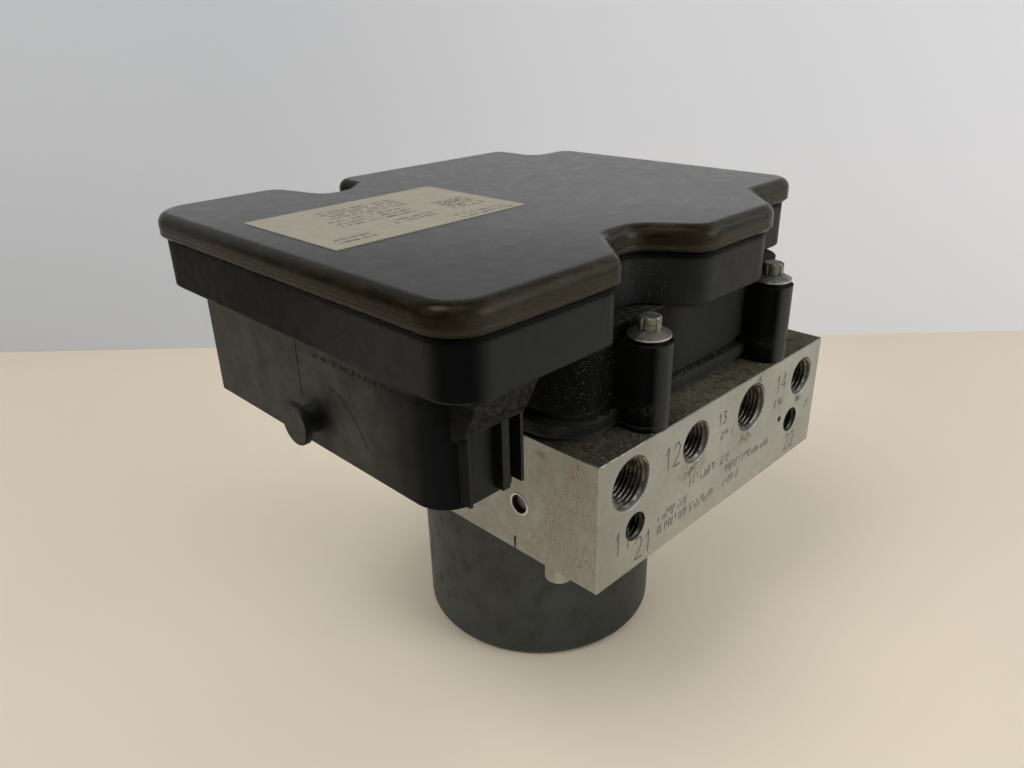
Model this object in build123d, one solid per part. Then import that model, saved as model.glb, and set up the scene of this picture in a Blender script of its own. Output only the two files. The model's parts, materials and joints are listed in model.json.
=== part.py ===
from build123d import *
import math
import os

# Millimetres. The origin is on the motor axis, at the flat end the unit stands on. +Z runs up through the
# motor, the valve block and the control unit; the four wheel ports face -Y and the cable socket hangs at -X.

# Motor
MOTOR_RADIUS = 32.1
MOTOR_HEIGHT = 52.3
CAN_WALL = 2.0
FLANGE_THICKNESS = 3.0
SHAFT_RADIUS = 4.0
ECCENTRIC_RADIUS = 6.0
ECCENTRICITY = 1.0
RING_RADIUS = 9.5
BEARING_RADIUS = 8.0
RUNNING_GAP = 0.03

# Valve block
BLOCK_LEFT = -43.4
BLOCK_RIGHT = 44.2
BLOCK_FRONT = -57.0
BLOCK_BACK = 46.0
BLOCK_HEIGHT = 29.0
BLOCK_TOP = MOTOR_HEIGHT + BLOCK_HEIGHT
PORT_Z = 73.6
LARGE_PORT_RADIUS = 5.5
SMALL_PORT_RADIUS = 4.5
PORT_DEPTH = 12.0
PORT_MOUTH = 0.45
WHEEL_PORTS = ((-33.5, "large"), (-11.0, "small"), (11.6, "large"), (35.3, "small"))
SUPPLY_PORTS = ((-30.0, -36.0), (30.0, -36.0))
BRACKET_HOLES = ((-31.5, 62.7), (32.2, 62.7))
BRACKET_HOLE_RADIUS = 3.2
BRACKET_HOLE_DEPTH = 9.0
BALL_PLUG_RADIUS = 2.35
BALL_PLUG_PLACE = (-36.0, 64.3)
CAVITY_RADIUS = 13.0
CAVITY_TOP = 74.0

# Pump
PUMP_Z = 66.0
PUMP_BORE_RADIUS = 6.5
PUMP_PISTON_RADIUS = 3.5
PUMP_PISTON_START = 10.7
PUMP_PISTON_LENGTH = 15.0

# Places where the wiring passes through the block
CONTACT_Y = 20.0
SENSOR_Y = 29.5

# Accumulators
ACCUMULATOR_X = 21.0
ACCUMULATOR_Z = 66.0
ACCUMULATOR_RADIUS = 9.0
ACCUMULATOR_FLOOR = 24.0

# Valves
VALVE_COLUMNS = (-31.5, -12.0, 11.0, 29.4)
VALVE_ROWS = (("inlet", -33.0), ("outlet", -15.5))
VALVE_RADIUS = 5.0
VALVE_FLOOR = 66.3
DOME_RADIUS = 3.3
DOME_TOP = 97.8
PLUNGER_RADIUS = 2.2
PLUNGER_STROKE = 0.3
COIL_RADIUS = 7.0

# Control unit
RIM_BOTTOM = 114.0
COVER_TOP = 119.4
TRAY_BOTTOM = 102.7
TRAY_INSET = 1.2
SPIGOT_INSET = 2.2
TRAY_TOP = 113.4
WALL = 2.0
SKIRT_BOTTOM = BLOCK_TOP + 1.0
SKIRT_TOP = 85.4
SEAL_TOP = SKIRT_BOTTOM + 1.0
NECK_TOP = 87.2
POST_RADIUS = 4.8
POST_TOP = 99.4
SEAT_RADIUS = 3.3
SEAT_TOP = 100.3
POSTS = ((-23.3, -52.2), (23.8, -52.2), (-33.5, 40.3), (38.9, 40.3))
BODY_LEFT = -42.2
BODY_RIGHT = 38.9
BODY_FRONT = -48.3
BODY_BACK = 37.0
BODY_CORNER = 9.0
SOCKET_LEFT = -72.9
SOCKET_RIGHT = -56.0
SOCKET_FRONT = -48.2
SOCKET_BACK = 31.0
SOCKET_BOTTOM = 80.7
SOCKET_CEILING = 97.5
SHOULDER_LEFT = -69.7
SOCKET_RIBS = ((-68.5, 0.6), (-60.3, 1.7), (-56.4, 0.7))
PEG_Y = -10.0
PEG_Z = 86.8
BOARD_BOTTOM = 105.6
BOARD_THICKNESS = 1.6
LABEL_SIZE = (48.6, 32.8)
LABEL_CENTRE = (-43.1, 1.1)

# Corners of the cover's plan with the radius of each. The waves leave room for a driver over the four posts.
COVER_CORNERS = (
    (-75.3, -55.7, 8.5),
    (-36.6, -55.7, 4.5),
    (-26.3, -44.2, 4.0),
    (-17.8, -44.2, 6.0),
    (-10.2, -55.9, 7.0),
    (15.3, -55.9, 8.0),
    (26.8, -44.3, 2.0),
    (47.3, -44.3, 6.0),
    (46.6, 31.8, 5.5),
    (33.3, 31.8, 2.5),
    (33.3, 46.8, 5.0),
    (-27.2, 46.8, 4.5),
    (-27.2, 36.8, 2.0),
    (-33.6, 32.4, 3.0),
    (-38.4, 32.4, 2.5),
    (-42.4, 48.1, 6.0),
    (-75.6, 48.3, 9.0),
)


def rod(radius, low, high, x=0.0, y=0.0):
    return Pos(x, y, (low + high) / 2) * Cylinder(radius, high - low)


def rod_x(radius, start, end, y, z):
    return Pos((start + end) / 2, y, z) * Rot(0, 90, 0) * Cylinder(radius, abs(end - start))


def rod_y(radius, start, end, x, z):
    return Pos(x, (start + end) / 2, z) * Rot(90, 0, 0) * Cylinder(radius, abs(end - start))


def block_between(low, high):
    size = [b - a for a, b in zip(low, high)]
    centre = [(a + b) / 2 for a, b in zip(low, high)]
    return Pos(*centre) * Box(*size)


def prism(face, low, high):
    return Pos(0, 0, low) * extrude(face, amount=high - low)


def rounded_plan(corners):
    outline = FilletPolyline(
        [(x, y) for x, y, radius in corners],
        radius=[radius for x, y, radius in corners],
        close=True,
    )
    return make_face(outline)


def rounded_box(left, right, front, back, radius, low, high):
    plan = Pos((left + right) / 2, (front + back) / 2) * RectangleRounded(right - left, back - front, radius)
    return prism(plan, low, high)


def block_face(side):
    return BLOCK_RIGHT if side > 0 else BLOCK_LEFT


COVER_PLAN = rounded_plan(COVER_CORNERS)
TRAY_PLAN = offset(COVER_PLAN, amount=-TRAY_INSET)
SPIGOT_PLAN = offset(COVER_PLAN, amount=-SPIGOT_INSET)
TRAY_HOLLOW_PLAN = offset(COVER_PLAN, amount=-TRAY_INSET - WALL)
BOARD_PLAN = offset(COVER_PLAN, amount=-TRAY_INSET - WALL - 0.6)


def hydraulic_block():
    body = block_between((BLOCK_LEFT, BLOCK_FRONT, MOTOR_HEIGHT), (BLOCK_RIGHT, BLOCK_BACK, BLOCK_TOP))
    body = chamfer(body.edges(), 0.2)
    body += rod(2.95, MOTOR_HEIGHT - 5.0, MOTOR_HEIGHT + 1.0, -38.9, -43.0)
    for x, size in WHEEL_PORTS:
        radius = LARGE_PORT_RADIUS if size == "large" else SMALL_PORT_RADIUS
        mouth = Cone(radius, radius + PORT_MOUTH, PORT_MOUTH)
        body -= rod_y(radius, BLOCK_FRONT - 1.0, BLOCK_FRONT + PORT_DEPTH, x, PORT_Z)
        body -= Pos(x, BLOCK_FRONT + PORT_MOUTH / 2, PORT_Z) * Rot(90, 0, 0) * mouth
        body -= rod_y(1.5, BLOCK_FRONT + PORT_DEPTH - 1.0, VALVE_ROWS[0][1] - 3.0, x, PORT_Z)
    for x, y in SUPPLY_PORTS:
        body -= rod(LARGE_PORT_RADIUS, MOTOR_HEIGHT - 1.0, MOTOR_HEIGHT + PORT_DEPTH, x, y)
    for x, z in BRACKET_HOLES:
        body -= rod_y(BRACKET_HOLE_RADIUS, BLOCK_FRONT - 1.0, BLOCK_FRONT + BRACKET_HOLE_DEPTH, x, z)
    for x in VALVE_COLUMNS:
        for _, y in VALVE_ROWS:
            body -= rod(VALVE_RADIUS, VALVE_FLOOR, BLOCK_TOP + 1.0, x, y)
        body -= rod_y(1.5, VALVE_ROWS[0][1], VALVE_ROWS[1][1], x, VALVE_FLOOR + 3.0)
    for x, y in POSTS:
        body -= rod(1.9, BLOCK_TOP - 9.0, BLOCK_TOP + 1.0, x, y)
    for x, y in motor_screw_places():
        body -= rod(2.0, MOTOR_HEIGHT - 1.0, MOTOR_HEIGHT + 10.0, x, y)
    body -= rod(CAVITY_RADIUS, MOTOR_HEIGHT - 1.0, CAVITY_TOP)
    for side in (-1, 1):
        body -= rod_x(PUMP_BORE_RADIUS, 0, block_face(side) + side, 0, PUMP_Z)
        x = side * ACCUMULATOR_X
        body -= rod_y(ACCUMULATOR_RADIUS, ACCUMULATOR_FLOOR, BLOCK_BACK + 1.0, x, ACCUMULATOR_Z)
    body -= rod(3.5, MOTOR_HEIGHT - 1.0, BLOCK_TOP + 1.0, 0, CONTACT_Y)
    body -= rod(4.0, BLOCK_TOP - 8.0, BLOCK_TOP + 1.0, 0, SENSOR_Y)
    body -= rod_x(BALL_PLUG_RADIUS, BLOCK_LEFT - 1.0, BLOCK_LEFT + 6.0, *BALL_PLUG_PLACE)
    body -= rod_y(0.7, BLOCK_FRONT - 1.0, BLOCK_FRONT + 1.0, 26.4, 65.0)
    return body - block_between((BLOCK_LEFT - 1.0, -34.8, 51.0), (BLOCK_LEFT + 0.6, -34.2, 55.6))


def ball_plug():
    plug = rod_x(BALL_PLUG_RADIUS, BLOCK_LEFT + 1.1, BLOCK_LEFT + 5.0, *BALL_PLUG_PLACE)
    return chamfer(plug.edges().sort_by(Axis.X)[0], 0.6)


def motor_screw_places():
    angles = (30.0, 150.0, 270.0)
    return [(36.2 * math.cos(math.radians(a)), 36.2 * math.sin(math.radians(a))) for a in angles]


def motor_can():
    can = rod(MOTOR_RADIUS, 0, MOTOR_HEIGHT)
    can = fillet(can.edges().sort_by(Axis.Z)[0], 2.4)
    flange_bottom = MOTOR_HEIGHT - FLANGE_THICKNESS
    can += rod(MOTOR_RADIUS + 2.4, flange_bottom, MOTOR_HEIGHT)
    for x, y in motor_screw_places():
        can += rod(4.6, flange_bottom, MOTOR_HEIGHT, x, y)
    can -= rod(MOTOR_RADIUS - CAN_WALL, CAN_WALL, MOTOR_HEIGHT + 1.0)
    can += rod(BEARING_RADIUS + 1.6, CAN_WALL - 0.5, 7.5) - rod(BEARING_RADIUS, CAN_WALL, 8.0)
    for x, y in motor_screw_places():
        can -= rod(2.2, flange_bottom - 1.0, MOTOR_HEIGHT + 1.0, x, y)
    return can


def motor_screws():
    screws = []
    under_flange = MOTOR_HEIGHT - FLANGE_THICKNESS
    for x, y in motor_screw_places():
        head = rod(3.6, under_flange - 2.6, under_flange, x, y)
        head = chamfer(head.edges().sort_by(Axis.Z)[0], 0.6)
        screws.append(head + rod(2.0, under_flange - 0.5, MOTOR_HEIGHT + 9.5, x, y))
    return screws


def motor_end_plate():
    plate = rod(MOTOR_RADIUS - CAN_WALL, MOTOR_HEIGHT - 4.0, MOTOR_HEIGHT)
    plate -= rod(BEARING_RADIUS, MOTOR_HEIGHT - 5.0, MOTOR_HEIGHT + 1.0)
    return plate - rod(3.5, MOTOR_HEIGHT - 5.0, MOTOR_HEIGHT + 1.0, 0, CONTACT_Y)


def bearing(low, high):
    return rod(BEARING_RADIUS, low, high) - rod(SHAFT_RADIUS + RUNNING_GAP, low - 1.0, high + 1.0)


def motor_magnets():
    ring = rod(MOTOR_RADIUS - CAN_WALL, 8.0, 40.0) - rod(24.8, 7.0, 41.0)
    gap = block_between((-8.0, -40.0, 7.0), (8.0, 40.0, 41.0))
    return list((ring - gap).solids())


def brush_holder():
    holder = rod(MOTOR_RADIUS - CAN_WALL - 0.2, 42.2, MOTOR_HEIGHT - 4.0) - rod(10.2, 41.0, MOTOR_HEIGHT)
    for side in (-1, 1):
        holder -= Pos(side * 12.6, 0, 45.0) * Box(7.0, 6.0, 7.0)
    return holder


def brushes():
    return [Pos(side * 12.4, 0, 44.7) * Box(6.8, 6.0, 4.2) for side in (-1, 1)]


def motor_shaft():
    shaft = rod(SHAFT_RADIUS, CAN_WALL + 0.4, 60.0)
    return shaft + rod(ECCENTRIC_RADIUS, 60.0, 72.0, ECCENTRICITY)


def armature():
    core = rod(24.0, 11.0, 38.0)
    slots = [Rot(0, 0, 30 * n) * Pos(23.2, 0, 24.5) * Box(3.0, 1.6, 28.0) for n in range(12)]
    windings = rod(19.0, 8.6, 40.5)
    core -= slots
    return core + windings - rod(SHAFT_RADIUS, 8.0, 41.0)


def commutator():
    return rod(8.8, 40.6, 46.6) - rod(SHAFT_RADIUS, 40.0, 47.0)


def eccentric_ring():
    ring = rod(RING_RADIUS, 60.6, 71.4, ECCENTRICITY)
    return ring - rod(ECCENTRIC_RADIUS, 60.0, 72.0, ECCENTRICITY)


def pump_piston(side):
    end = PUMP_PISTON_START + PUMP_PISTON_LENGTH
    return rod_x(PUMP_PISTON_RADIUS, side * PUMP_PISTON_START, side * end, 0, PUMP_Z)


def pump_sleeve(side):
    sleeve = rod_x(PUMP_BORE_RADIUS, side * 14.5, side * 35.0, 0, PUMP_Z)
    return sleeve - rod_x(PUMP_PISTON_RADIUS + RUNNING_GAP, side * 14.0, side * 36.0, 0, PUMP_Z)


def pump_plug(side):
    plug = rod_x(PUMP_BORE_RADIUS, side * 35.0, block_face(side) + 0.6 * side, 0, PUMP_Z)
    edge = plug.edges().sort_by(Axis.X)[-1 if side > 0 else 0]
    return chamfer(edge, 0.5)


def coil_spring(radius, wire, length, turns):
    path = Helix(pitch=(length - wire) / turns, height=length - wire, radius=radius)
    section = Plane(path @ 0, z_dir=path % 0) * Rectangle(wire, wire)
    return sweep(section, path=path)


def pump_spring(side):
    spring = coil_spring(2.6, 0.8, 5.6, 3)
    return Pos(side * 29.3, 0, PUMP_Z) * Rot(0, side * 90, 0) * Pos(0, 0, 0.4) * spring


def accumulator_piston(side):
    return rod_y(ACCUMULATOR_RADIUS - RUNNING_GAP, 24.6, 31.0, side * ACCUMULATOR_X, ACCUMULATOR_Z)


def accumulator_spring(side):
    spring = coil_spring(6.2, 1.0, 6.0, 2)
    return Pos(side * ACCUMULATOR_X, 36.4, ACCUMULATOR_Z) * Rot(-90, 0, 0) * Pos(0, 0, 0.5) * spring


def accumulator_cover(side):
    cover = rod_y(ACCUMULATOR_RADIUS, 42.6, BLOCK_BACK + 0.8, side * ACCUMULATOR_X, ACCUMULATOR_Z)
    return chamfer(cover.edges().sort_by(Axis.Y)[-1], 0.6)


def valve_body(x, y):
    body = rod(VALVE_RADIUS, VALVE_FLOOR, BLOCK_TOP, x, y)
    body += rod(DOME_RADIUS, BLOCK_TOP - 1.0, DOME_TOP, x, y)
    return body - rod(PLUNGER_RADIUS + RUNNING_GAP, 76.0, DOME_TOP - 1.0, x, y)


def valve_plunger(x, y):
    return rod(PLUNGER_RADIUS, 76.6, 92.0, x, y)


def coil_pack():
    columns = VALVE_COLUMNS
    rows = [y for _, y in VALVE_ROWS]
    ends = (columns[0] - 7.0, columns[-1] + 7.0, rows[0] - 7.0, rows[-1] + 7.0)
    carrier = rounded_box(*ends, 3.0, 98.4, 99.8)
    for x in columns:
        for y in rows:
            carrier += rod(COIL_RADIUS, BLOCK_TOP, 98.6, x, y)
            carrier -= rod(DOME_RADIUS + 0.1, BLOCK_TOP - 1.0, 98.1, x, y)
    return carrier


def pressure_sensor():
    sensor = rod(4.0, BLOCK_TOP - 8.0, BLOCK_TOP, 0, SENSOR_Y) + rod(4.8, BLOCK_TOP, 95.0, 0, SENSOR_Y)
    return chamfer(sensor.edges().sort_by(Axis.Z)[-1], 0.6)


def motor_contact():
    return rod(3.5, 48.6, BLOCK_TOP, 0, CONTACT_Y) + rod(1.6, BLOCK_TOP - 1.0, 96.0, 0, CONTACT_Y)


def socket_shoulder():
    lower = [(SOCKET_FRONT - 2.2, 95.4), (SOCKET_FRONT, 93.9), (SOCKET_FRONT + 1.0, 93.9)]
    upper = [(SOCKET_FRONT + 1.0, TRAY_BOTTOM), (-54.0, TRAY_BOTTOM)]
    profile = make_face(Polyline(*lower, *upper, close=True))
    wedge = Pos(SOCKET_RIGHT, 0, 0) * extrude(Plane.YZ * profile, amount=SHOULDER_LEFT - SOCKET_RIGHT)
    return wedge & prism(TRAY_PLAN, 90.0, TRAY_BOTTOM)


def post(x, y):
    inward = 1 if y < 0 else -1
    web_end = BODY_FRONT + 1.0 if y < 0 else BODY_BACK - BODY_CORNER
    web = Pos(x, (y + web_end) / 2, (BLOCK_TOP + POST_TOP) / 2)
    web *= Box(2 * POST_RADIUS, inward * (web_end - y), POST_TOP - BLOCK_TOP)
    return rod(POST_RADIUS, BLOCK_TOP, POST_TOP, x, y) + web


def body_box(grow, low, high):
    ends = (BODY_LEFT - grow, BODY_RIGHT + grow, BODY_FRONT - grow, BODY_BACK + grow)
    return rounded_box(*ends, BODY_CORNER + grow, low, high)


def seal_ring(low, high):
    return body_box(0.3, low, high) - body_box(-1.2, low - 1.0, high + 1.0)


def ecu_housing():
    tray = prism(TRAY_PLAN, TRAY_BOTTOM, TRAY_TOP)
    tray = chamfer(tray.edges().group_by(Axis.Z)[0], 0.5)
    skirt = body_box(1.2, SKIRT_BOTTOM, SKIRT_TOP)
    skirt = fillet(skirt.edges().group_by(Axis.Z)[-1], 0.6)
    skirt = fillet(skirt.edges().group_by(Axis.Z)[0], 0.4)
    neck = body_box(-0.9, SKIRT_TOP - 1.0, NECK_TOP + 1.0)
    shell = tray + prism(SPIGOT_PLAN, TRAY_TOP, RIM_BOTTOM + 1.2)
    shell -= prism(TRAY_HOLLOW_PLAN, TRAY_BOTTOM + WALL, COVER_TOP)
    shell += skirt + neck + body_box(0.0, NECK_TOP, TRAY_BOTTOM)
    for x, y in POSTS:
        shell += post(x, y)
    shell -= body_box(-2.2, BLOCK_TOP - 1.0, TRAY_BOTTOM - 2.3)
    shell -= rounded_box(-36.0, 36.0, -38.0, 31.0, 4.0, TRAY_BOTTOM - 3.0, TRAY_BOTTOM + 3.0)
    for x, y in POSTS:
        shell += rod(POST_RADIUS, BLOCK_TOP, POST_TOP, x, y)
        shell -= rod(4.8, POST_TOP, TRAY_BOTTOM, x, y)
        shell += rod(SEAT_RADIUS, POST_TOP - 1.0, SEAT_TOP, x, y)
        shell -= rod(2.2, BLOCK_TOP - 1.0, SEAT_TOP + 1.0, x, y)
    shell -= seal_ring(BLOCK_TOP, SEAL_TOP)
    shell += cable_socket()
    for x, y in ((-62.0, -38.0), (-62.0, 34.0), (-16.0, 37.0), (40.0, -34.0)):
        shell += rod(2.5, TRAY_BOTTOM + 1.0, BOARD_BOTTOM, x, y)
    return shell


def cable_socket():
    ends = (SOCKET_LEFT, SOCKET_RIGHT, SOCKET_FRONT, SOCKET_BACK)
    socket = rounded_box(*ends, 2.0, SOCKET_BOTTOM, TRAY_BOTTOM + 0.5)
    outer = rounded_box(SOCKET_LEFT, SOCKET_RIGHT + 9.0, SOCKET_FRONT, SOCKET_BACK + 9.0, 7.0, 80.0, 110.0)
    socket &= outer
    socket += socket_shoulder()
    for x, width in SOCKET_RIBS:
        low = (x - width / 2, SOCKET_FRONT - 2.0, SOCKET_BOTTOM + 1.1)
        socket += block_between(low, (x + width / 2, SOCKET_FRONT + 0.5, 96.0))
    peg = rod_x(2.9, SOCKET_LEFT + 0.5, SOCKET_LEFT - 3.4, PEG_Y, PEG_Z)
    disc = rod_x(4.4, SOCKET_LEFT - 3.2, SOCKET_LEFT - 4.5, PEG_Y, PEG_Z)
    socket += peg + fillet(disc.edges().sort_by(Axis.X)[0], 0.4)
    mouth = (SOCKET_LEFT + WALL, SOCKET_RIGHT - WALL, SOCKET_FRONT + WALL, SOCKET_BACK - WALL)
    socket -= rounded_box(*mouth, 1.5, SOCKET_BOTTOM - 1.0, SOCKET_CEILING)
    return socket


def ecu_cover():
    cover = prism(COVER_PLAN, RIM_BOTTOM, COVER_TOP)
    cover = fillet(cover.edges().group_by(Axis.Z)[-1], 2.5)
    cover = chamfer(cover.edges().group_by(Axis.Z)[0], 0.6)
    cover -= prism(SPIGOT_PLAN, RIM_BOTTOM - 1.0, RIM_BOTTOM + 1.2)
    return cover - prism(TRAY_HOLLOW_PLAN, RIM_BOTTOM - 1.0, COVER_TOP - 2.0)


def ecu_screws():
    screws = []
    for x, y in POSTS:
        washer = rod(4.3, SEAT_TOP, SEAT_TOP + 0.5, x, y)
        washer += Pos(x, y, SEAT_TOP + 0.95) * Cone(4.3, 2.5, 0.9)
        head = rod(2.3, SEAT_TOP + 0.7, SEAT_TOP + 4.0, x, y)
        lobes = [rod(0.55, SEAT_TOP, SEAT_TOP + 6.0, x + 2.5 * c, y + 2.5 * s) for c, s in star_points()]
        head = chamfer(head.edges().sort_by(Axis.Z)[-1], 0.3) - lobes
        screws.append(washer + head + rod(1.9, BLOCK_TOP - 8.6, SEAT_TOP + 0.5, x, y))
    return screws


def star_points():
    angles = [math.radians(60 * n) for n in range(6)]
    return [(math.cos(a), math.sin(a)) for a in angles]


def circuit_board():
    return prism(BOARD_PLAN, BOARD_BOTTOM, BOARD_BOTTOM + BOARD_THICKNESS)


def connector_pins():
    pins = []
    for n in range(20):
        for x in (-67.5, -61.5):
            y = -42.0 + 3.4 * n
            pins.append(block_between((x - 0.32, y - 0.32, 88.0), (x + 0.32, y + 0.32, BOARD_BOTTOM)))
    return pins


def cover_label():
    return Pos(*LABEL_CENTRE, COVER_TOP + 0.075) * Rot(0, 0, 0.7) * Box(*LABEL_SIZE, 0.15)


def pieces():
    board_top = BOARD_BOTTOM + BOARD_THICKNESS
    made = {
        "hydraulic_block": hydraulic_block(),
        "ball_plug": ball_plug(),
        "motor_can": motor_can(),
        "motor_screws": motor_screws(),
        "motor_end_plate": motor_end_plate(),
        "motor_magnets": motor_magnets(),
        "brush_holder": brush_holder(),
        "brushes": brushes(),
        "lower_bearing": bearing(CAN_WALL, 7.0),
        "upper_bearing": bearing(MOTOR_HEIGHT - 5.0, MOTOR_HEIGHT),
        "motor_shaft": motor_shaft(),
        "armature": armature(),
        "commutator": commutator(),
        "eccentric_ring": eccentric_ring(),
        "coil_pack": coil_pack(),
        "pressure_sensor": pressure_sensor(),
        "motor_contact": motor_contact(),
        "ecu_housing": ecu_housing(),
        "ecu_seal": seal_ring(BLOCK_TOP, SEAL_TOP),
        "ecu_screws": ecu_screws(),
        "ecu_cover": ecu_cover(),
        "cover_label": cover_label(),
        "circuit_board": circuit_board(),
        "processor_chip": block_between((-14.0, -12.0, board_top), (12.0, 14.0, board_top + 1.8)),
        "driver_chip": block_between((18.0, -10.0, board_top), (34.0, 6.0, board_top + 2.6)),
        "board_capacitors": [rod(5.0, board_top, board_top + 7.5, x, -32.0) for x in (-60.0, -48.0)],
        "connector_pins": connector_pins(),
    }
    for side, name in ((-1, "left"), (1, "right")):
        made["pump_piston_" + name] = pump_piston(side)
        made["pump_sleeve_" + name] = pump_sleeve(side)
        made["pump_spring_" + name] = pump_spring(side)
        made["pump_plug_" + name] = pump_plug(side)
        made["accumulator_piston_" + name] = accumulator_piston(side)
        made["accumulator_spring_" + name] = accumulator_spring(side)
        made["accumulator_cover_" + name] = accumulator_cover(side)
    for kind, y in VALVE_ROWS:
        for number, x in enumerate(VALVE_COLUMNS, start=1):
            made[f"{kind}_valve_{number}"] = valve_body(x, y)
            made[f"{kind}_plunger_{number}"] = valve_plunger(x, y)
    return made


os.makedirs("parts", exist_ok=True)
for name, shape in pieces().items():
    solids = shape if isinstance(shape, list) else list(shape.solids())
    export_step(solids[0] if len(solids) == 1 else Compound(children=solids), f"parts/{name}.step")
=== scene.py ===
import json
import math
import random

import bpy
from mathutils import Matrix, Vector


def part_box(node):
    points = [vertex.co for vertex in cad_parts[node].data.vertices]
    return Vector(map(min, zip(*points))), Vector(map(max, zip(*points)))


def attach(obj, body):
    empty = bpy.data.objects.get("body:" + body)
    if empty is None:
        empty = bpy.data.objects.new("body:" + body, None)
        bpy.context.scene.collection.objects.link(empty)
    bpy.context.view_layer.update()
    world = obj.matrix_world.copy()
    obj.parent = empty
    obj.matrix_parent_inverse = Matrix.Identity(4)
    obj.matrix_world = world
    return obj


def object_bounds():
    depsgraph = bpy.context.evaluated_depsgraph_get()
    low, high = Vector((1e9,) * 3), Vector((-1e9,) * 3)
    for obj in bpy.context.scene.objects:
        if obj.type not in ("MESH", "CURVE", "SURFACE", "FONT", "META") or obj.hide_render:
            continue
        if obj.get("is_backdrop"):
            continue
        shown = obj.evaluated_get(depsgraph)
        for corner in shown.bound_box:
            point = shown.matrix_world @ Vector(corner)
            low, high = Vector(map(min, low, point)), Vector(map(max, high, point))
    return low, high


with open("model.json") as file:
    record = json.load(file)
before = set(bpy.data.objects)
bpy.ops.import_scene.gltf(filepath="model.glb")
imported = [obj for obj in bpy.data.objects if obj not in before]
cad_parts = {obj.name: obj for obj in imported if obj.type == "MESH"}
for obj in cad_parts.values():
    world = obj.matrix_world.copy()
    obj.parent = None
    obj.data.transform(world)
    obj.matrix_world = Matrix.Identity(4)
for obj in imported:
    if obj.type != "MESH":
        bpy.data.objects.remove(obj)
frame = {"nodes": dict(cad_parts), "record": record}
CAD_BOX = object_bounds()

MM = 0.001
DIAGONAL = 0.7071

# ---------------------------------------------------------------- sizes, in millimetres

# Camera: its angles are in degrees, its focal length in pixels of an image IMAGE_WIDTH wide
IMAGE_WIDTH = 1024
FOCAL_LENGTH_PX = 797.1
SENSOR_WIDTH = 36.0
CAMERA_PLACE = (-141.92, -135.60, 156.06)
CAMERA_YAW = 44.34
CAMERA_PITCH = 24.65
CAMERA_ROLL = -1.47

# Places that the frame gives
BLOCK_LOW, BLOCK_HIGH = (tuple(v / MM for v in corner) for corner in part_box("hydraulic_block"))
COVER_LOW, COVER_HIGH = (tuple(v / MM for v in corner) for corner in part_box("ecu_cover"))
LABEL_LEFT, LABEL_FRONT = tuple(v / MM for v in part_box("cover_label")[0])[:2]
BLOCK_LEFT, BLOCK_FRONT = BLOCK_LOW[:2]
BLOCK_TOP = BLOCK_HIGH[2]
COVER_BOTTOM = COVER_LOW[2]
COVER_TOP = COVER_HIGH[2]

# Heights from the block's top: its underside, the housing's skirt, and the seats of the housing's screws
BLOCK_BOTTOM = BLOCK_TOP - 29.0
SKIRT_BOTTOM = BLOCK_TOP + 1.0
SKIRT_TOP = BLOCK_TOP + 4.1
SEAT_TOP = BLOCK_TOP + 19.0

# Other places on the housing, as in the part's source
TRAY_BOTTOM = 102.7
SOCKET_LEFT = -72.9
SOCKET_RIGHT = -56.0
BODY_FRONT = -48.3

# How far marks, lines and grains stand off the face that they lie on
MARK_LIFT = 0.012
FILM_LIFT = 0.03
GRAIN_LIFT = 0.02

# Threads. The height, and the section's places along the hole, are shares of the pitch. The section gives
# how far the ridge reaches at each place, as a share of its height.
PORT_MOUTH = 0.45
THREAD_PITCH = 1.0
THREAD_START = 0.12
THREAD_SHORTER = 0.6
THREAD_HEIGHT = 0.52
THREAD_SECTION = ((-0.46, 0.0), (-0.07, 1.0), (0.07, 1.0), (0.46, 0.0))
THREAD_STEPS = 40
THREAD_LIFT = 0.01
THREAD_OUTERMOST = 0.02
SMALL_THREAD_RADIUS = 4.0

# Marks on the port face: number, X, Z, height
PORT_FIGURES = (
    ("11", -38.2, 58.4, 5.2),
    ("21", -31.2, 54.2, 5.2),
    ("12", -22.4, 71.2, 5.2),
    ("13", -2.6, 74.0, 3.0),
    ("14", 22.8, 73.0, 4.4),
    ("22", 31.0, 54.2, 4.4),
)
FIGURE_STROKE = 0.27

# A figure's width as a share of its height, and the step to the next figure as a share of that width
FIGURE_WIDTH = 0.72
FIGURE_STEP = 0.85

# Rows of ticks on the port face: X where the row starts, Z, length, height
STAMPED_ROWS = (
    (-23.4, 59.6, 10.0, 2.0),
    (-23.6, 56.6, 21.0, 2.0),
    (-12.4, 63.4, 15.5, 2.0),
    (2.2, 60.2, 20.0, 2.0),
    (1.8, 56.9, 7.4, 1.9),
    (-1.0, 70.0, 6.0, 1.9),
    (22.6, 69.2, 5.0, 1.8),
)
TICK_STROKE = 0.24
DOT_STROKE = 0.22

# Oily smudges on the port face: X, Z, reach, narrowing
SMUDGES = (
    (-11.8, 68.0, 4.2, 0.6),
    (10.6, 67.2, 3.8, 0.7),
    (35.2, 67.6, 3.0, 0.8),
    (26.4, 65.0, 1.5, 1.0),
    (14.6, 80.0, 1.8, 0.6),
    (40.2, 64.5, 1.6, 0.8),
)

# Rows of print on the label: from and to along its front edge, from and to along its left edge, pitch of the
# rows, share that is inked
PRINTED_ROWS = (
    (13.0, 33.0, 21.0, 29.0, 2.0, 0.62),
    (11.0, 30.0, 13.5, 20.5, 2.3, 0.55),
    (20.0, 31.0, 8.0, 12.0, 2.0, 0.5),
    (3.5, 12.0, 3.0, 7.5, 2.2, 0.66),
    (32.0, 46.5, 1.6, 5.6, 2.2, 0.6),
)
INK_CELL = 0.42
ROW_FILL = 0.55

# The printed square: from and to along both edges, size of its cells, share that is inked
SQUARE_U = (36.5, 45.5)
SQUARE_V = (9.0, 18.0)
SQUARE_CELL = 0.62
SQUARE_SHARE = 0.5

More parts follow.
